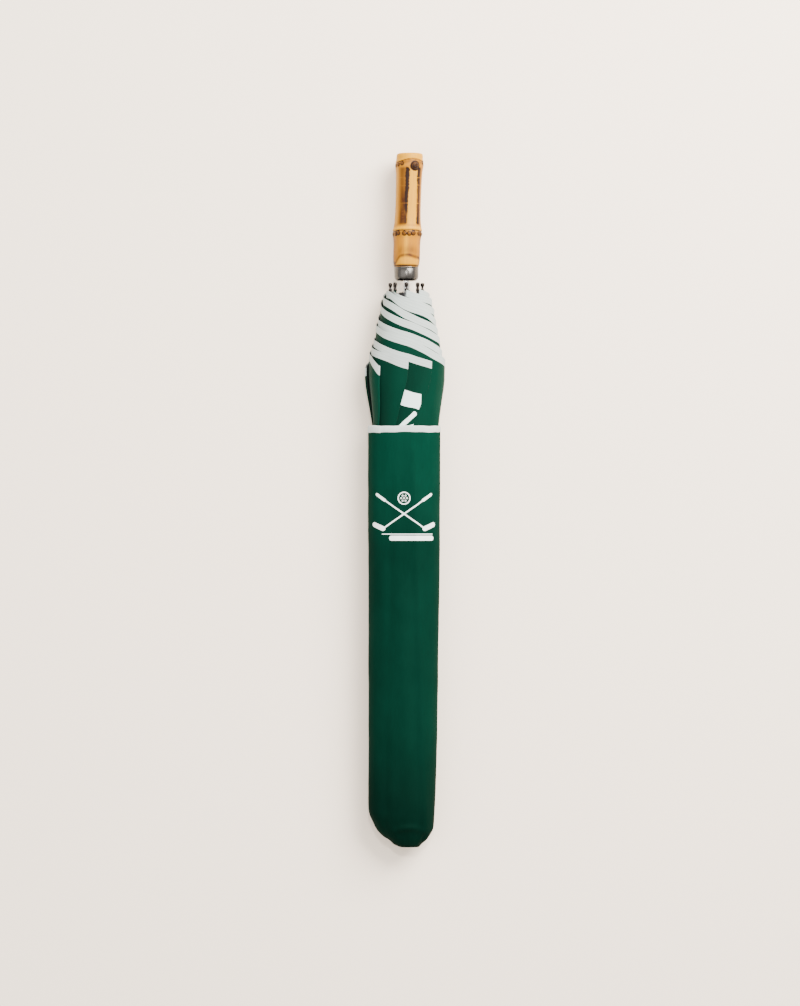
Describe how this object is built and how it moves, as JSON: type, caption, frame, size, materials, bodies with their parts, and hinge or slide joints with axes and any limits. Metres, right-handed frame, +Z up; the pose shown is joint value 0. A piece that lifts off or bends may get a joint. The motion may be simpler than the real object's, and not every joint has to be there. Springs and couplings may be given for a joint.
{
  "type": "golf umbrella",
  "caption": "Closed golf umbrella with a knotted bamboo-root handle, rolled green canopy with pale borders, and a slip-on sleeve; ribs, runner and canopy open.",
  "frame": {"origin": "on the floor under the middle of the umbrella's length", "axes": "+Y along the shaft towards the handle's end, +Z up from the floor it lies on, +X to the right seen from above"},
  "size_m": [0.103, 0.95, 0.062],
  "materials": {
    "bamboo": "lacquered, flame-scorched root bamboo",
    "gunmetal": "polished gunmetal plate",
    "bright_steel": "bright plated steel",
    "black_steel": "black lacquered steel",
    "tip_steel": "dark nickel",
    "black_plastic": "moulded black nylon",
    "canopy_cloth": "green pongee with pale printed borders",
    "sleeve_cloth": "deep green nylon, slight sheen",
    "binding_tape": "white grosgrain tape"
  },
  "bodies": {
    "frame": {"handle_grip": "bamboo", "handle_collar": "gunmetal", "collar_liner": "black_plastic", "shaft": "bright_steel", "bottom_catch_pin": "black_steel", "top_catch_pin": "black_steel", "crown_notch": "black_plastic", "crown_wire": "black_steel", "canopy_cap": "black_plastic", "spike": "gunmetal", "canopy_roll": "canopy_cloth", "tie_strap": "canopy_cloth"},
    "rib_arm_1": {"rib_1": "black_steel", "rib_tip_1": "tip_steel", "rib_pin_1": "bright_steel"},
    "stretcher_arm_1": {"stretcher_1": "black_steel"},
    "gore_panel_1": {"gore_1": "canopy_cloth"},
    "rib_arm_2": {"rib_2": "black_steel", "rib_tip_2": "tip_steel", "rib_pin_2": "bright_steel"},
    "stretcher_arm_2": {"stretcher_2": "black_steel"},
    "gore_panel_2": {"gore_2": "canopy_cloth"},
    "rib_arm_3": {"rib_3": "black_steel", "rib_tip_3": "tip_steel", "rib_pin_3": "bright_steel"},
    "stretcher_arm_3": {"stretcher_3": "black_steel"},
    "gore_panel_3": {"gore_3": "canopy_cloth"},
    "rib_arm_4": {"rib_4": "black_steel", "rib_tip_4": "tip_steel", "rib_pin_4": "bright_steel"},
    "stretcher_arm_4": {"stretcher_4": "black_steel"},
    "gore_panel_4": {"gore_4": "canopy_cloth"},
    "rib_arm_5": {"rib_5": "black_steel", "rib_tip_5": "tip_steel", "rib_pin_5": "bright_steel"},
    "stretcher_arm_5": {"stretcher_5": "black_steel"},
    "gore_panel_5": {"gore_5": "canopy_cloth"},
    "rib_arm_6": {"rib_6": "black_steel", "rib_tip_6": "tip_steel", "rib_pin_6": "bright_steel"},
    "stretcher_arm_6": {"stretcher_6": "black_steel"},
    "gore_panel_6": {"gore_6": "canopy_cloth"},
    "rib_arm_7": {"rib_7": "black_steel", "rib_tip_7": "tip_steel", "rib_pin_7": "bright_steel"},
    "stretcher_arm_7": {"stretcher_7": "black_steel"},
    "gore_panel_7": {"gore_7": "canopy_cloth"},
    "rib_arm_8": {"rib_8": "black_steel", "rib_tip_8": "tip_steel", "rib_pin_8": "bright_steel"},
    "stretcher_arm_8": {"stretcher_8": "black_steel"},
    "gore_panel_8": {"gore_8": "canopy_cloth"},
    "runner": {"runner": "black_plastic", "runner_wire": "black_steel"},
    "bottom_catch": {"bottom_catch": "bright_steel"},
    "top_catch": {"top_catch": "bright_steel"},
    "sleeve": {"sleeve_body": "sleeve_cloth", "sleeve_binding": "binding_tape"}
  },
  "joints": [
    {"name": "canopy_open", "type": "hinge", "parent": "frame", "child": "rib_arm_1", "pos_m": [0.011, -0.414, 0.031], "axis": [0, 0, -1], "range_deg": [0, 72], "deforming": ["canopy_roll", "tie_strap", "sleeve_body", "sleeve_binding", "bottom_catch", "top_catch"]},
    {"name": "stretcher_hinge_1", "type": "hinge", "parent": "rib_arm_1", "child": "stretcher_arm_1", "pos_m": [0.01611, -0.08404, 0.031], "axis": [0, 0, -1], "range_deg": [-144, 0]},
    {"name": "gore_hinge_1", "type": "hinge", "parent": "rib_arm_1", "child": "gore_panel_1", "pos_m": [0.01082, -0.42551, 0.031], "axis": [0.9925, -0.0154, 0.121], "range_deg": [0, 42.91], "deforming": ["gore_1"]},
    {"name": "rib_hinge_2", "type": "hinge", "parent": "frame", "child": "rib_arm_2", "pos_m": [0.00778, -0.414, 0.03878], "axis": [0.7071, 0, -0.7071], "range_deg": [0, 72]},
    {"name": "stretcher_hinge_2", "type": "hinge", "parent": "rib_arm_2", "child": "stretcher_arm_2", "pos_m": [0.01139, -0.08404, 0.04239], "axis": [0.7071, 0, -0.7071], "range_deg": [-144, 0]},
    {"name": "gore_hinge_2", "type": "hinge", "parent": "rib_arm_2", "child": "gore_panel_2", "pos_m": [0.00765, -0.42551, 0.03865], "axis": [0.6163, -0.0154, 0.7874], "range_deg": [0, 42.91], "deforming": ["gore_2"]},
    {"name": "rib_hinge_3", "type": "hinge", "parent": "frame", "child": "rib_arm_3", "pos_m": [0, -0.414, 0.042], "axis": [1, 0, 0], "range_deg": [0, 72]},
    {"name": "stretcher_hinge_3", "type": "hinge", "parent": "rib_arm_3", "child": "stretcher_arm_3", "pos_m": [0, -0.08404, 0.04711], "axis": [1, 0, 0], "range_deg": [-144, 0]},
    {"name": "gore_hinge_3", "type": "hinge", "parent": "rib_arm_3", "child": "gore_panel_3", "pos_m": [0, -0.42551, 0.04182], "axis": [-0.121, -0.0154, 0.9925], "range_deg": [0, 42.91], "deforming": ["gore_3"]},
    {"name": "rib_hinge_4", "type": "hinge", "parent": "frame", "child": "rib_arm_4", "pos_m": [-0.00778, -0.414, 0.03878], "axis": [0.7071, 0, 0.7071], "range_deg": [0, 72]},
    {"name": "stretcher_hinge_4", "type": "hinge", "parent": "rib_arm_4", "child": "stretcher_arm_4", "pos_m": [-0.01139, -0.08404, 0.04239], "axis": [0.7071, 0, 0.7071], "range_deg": [-144, 0]},
    {"name": "gore_hinge_4", "type": "hinge", "parent": "rib_arm_4", "child": "gore_panel_4", "pos_m": [-0.00765, -0.42551, 0.03865], "axis": [-0.7874, -0.0154, 0.6163], "range_deg": [0, 42.91], "deforming": ["gore_4"]},
    {"name": "rib_hinge_5", "type": "hinge", "parent": "frame", "child": "rib_arm_5", "pos_m": [-0.011, -0.414, 0.031], "axis": [0, 0, 1], "range_deg": [0, 72]},
    {"name": "stretcher_hinge_5", "type": "hinge", "parent": "rib_arm_5", "child": "stretcher_arm_5", "pos_m": [-0.01611, -0.08404, 0.031], "axis": [0, 0, 1], "range_deg": [-144, 0]},
    {"name": "gore_hinge_5", "type": "hinge", "parent": "rib_arm_5", "child": "gore_panel_5", "pos_m": [-0.01082, -0.42551, 0.031], "axis": [-0.9925, -0.0154, -0.121], "range_deg": [0, 42.91], "deforming": ["gore_5"]},
    {"name": "rib_hinge_6", "type": "hinge", "parent": "frame", "child": "rib_arm_6", "pos_m": [-0.00778, -0.414, 0.02322], "axis": [-0.7071, 0, 0.7071], "range_deg": [0, 72]},
    {"name": "stretcher_hinge_6", "type": "hinge", "parent": "rib_arm_6", "child": "stretcher_arm_6", "pos_m": [-0.01139, -0.08404, 0.01961], "axis": [-0.7071, 0, 0.7071], "range_deg": [-144, 0]},
    {"name": "gore_hinge_6", "type": "hinge", "parent": "rib_arm_6", "child": "gore_panel_6", "pos_m": [-0.00765, -0.42551, 0.02335], "axis": [-0.6163, -0.0154, -0.7874], "range_deg": [0, 42.91], "deforming": ["gore_6"]},
    {"name": "rib_hinge_7", "type": "hinge", "parent": "frame", "child": "rib_arm_7", "pos_m": [0, -0.414, 0.02], "axis": [-1, 0, 0], "range_deg": [0, 72]},
    {"name": "stretcher_hinge_7", "type": "hinge", "parent": "rib_arm_7", "child": "stretcher_arm_7", "pos_m": [0, -0.08404, 0.01489], "axis": [-1, 0, 0], "range_deg": [-144, 0]},
    {"name": "gore_hinge_7", "type": "hinge", "parent": "rib_arm_7", "child": "gore_panel_7", "pos_m": [0, -0.42551, 0.02018], "axis": [0.121, -0.0154, -0.9925], "range_deg": [0, 42.91], "deforming": ["gore_7"]},
    {"name": "rib_hinge_8", "type": "hinge", "parent": "frame", "child": "rib_arm_8", "pos_m": [0.00778, -0.414, 0.02322], "axis": [-0.7071, 0, -0.7071], "range_deg": [0, 72]},
    {"name": "stretcher_hinge_8", "type": "hinge", "parent": "rib_arm_8", "child": "stretcher_arm_8", "pos_m": [0.01139, -0.08404, 0.01961], "axis": [-0.7071, 0, -0.7071], "range_deg": [-144, 0]},
    {"name": "gore_hinge_8", "type": "hinge", "parent": "rib_arm_8", "child": "gore_panel_8", "pos_m": [0.00765, -0.42551, 0.02335], "axis": [0.7874, -0.0154, -0.6163], "range_deg": [0, 42.91], "deforming": ["gore_8"]},
    {"name": "runner_hinge", "type": "hinge", "parent": "stretcher_arm_1", "child": "runner", "pos_m": [0.011, 0.24592, 0.031], "axis": [0, 0, -1], "range_deg": [0, 72]},
    {"name": "bottom_catch_press", "type": "hinge", "parent": "frame", "child": "bottom_catch", "pos_m": [0, 0.22992, 0.031], "axis": [-1, 0, 0], "range_deg": [0, 4.5], "stiffness_Nm_per_rad": 0.4},
    {"name": "top_catch_press", "type": "hinge", "parent": "frame", "child": "top_catch", "pos_m": [0, -0.13948, 0.031], "axis": [1, 0, 0], "range_deg": [0, 4.5], "stiffness_Nm_per_rad": 0.4},
    {"name": "sleeve_off", "type": "slide", "parent": "frame", "child": "sleeve", "axis": [0, -1, 0], "range_m": [0, 0.6]}
  ],
  "couplings": [
    {"joint": "stretcher_hinge_1", "follows": "canopy_open", "ratio": -2},
    {"joint": "gore_hinge_1", "follows": "canopy_open", "ratio": 0.59592},
    {"joint": "rib_hinge_2", "follows": "canopy_open", "ratio": 1},
    {"joint": "stretcher_hinge_2", "follows": "canopy_open", "ratio": -2},
    {"joint": "gore_hinge_2", "follows": "canopy_open", "ratio": 0.59592},
    {"joint": "rib_hinge_3", "follows": "canopy_open", "ratio": 1},
    {"joint": "stretcher_hinge_3", "follows": "canopy_open", "ratio": -2},
    {"joint": "gore_hinge_3", "follows": "canopy_open", "ratio": 0.59592},
    {"joint": "rib_hinge_4", "follows": "canopy_open", "ratio": 1},
    {"joint": "stretcher_hinge_4", "follows": "canopy_open", "ratio": -2},
    {"joint": "gore_hinge_4", "follows": "canopy_open", "ratio": 0.59592},
    {"joint": "rib_hinge_5", "follows": "canopy_open", "ratio": 1},
    {"joint": "stretcher_hinge_5", "follows": "canopy_open", "ratio": -2},
    {"joint": "gore_hinge_5", "follows": "canopy_open", "ratio": 0.59592},
    {"joint": "rib_hinge_6", "follows": "canopy_open", "ratio": 1},
    {"joint": "stretcher_hinge_6", "follows": "canopy_open", "ratio": -2},
    {"joint": "gore_hinge_6", "follows": "canopy_open", "ratio": 0.59592},
    {"joint": "rib_hinge_7", "follows": "canopy_open", "ratio": 1},
    {"joint": "stretcher_hinge_7", "follows": "canopy_open", "ratio": -2},
    {"joint": "gore_hinge_7", "follows": "canopy_open", "ratio": 0.59592},
    {"joint": "rib_hinge_8", "follows": "canopy_open", "ratio": 1},
    {"joint": "stretcher_hinge_8", "follows": "canopy_open", "ratio": -2},
    {"joint": "gore_hinge_8", "follows": "canopy_open", "ratio": 0.59592},
    {"joint": "runner_hinge", "follows": "canopy_open", "ratio": 1}
  ]
}
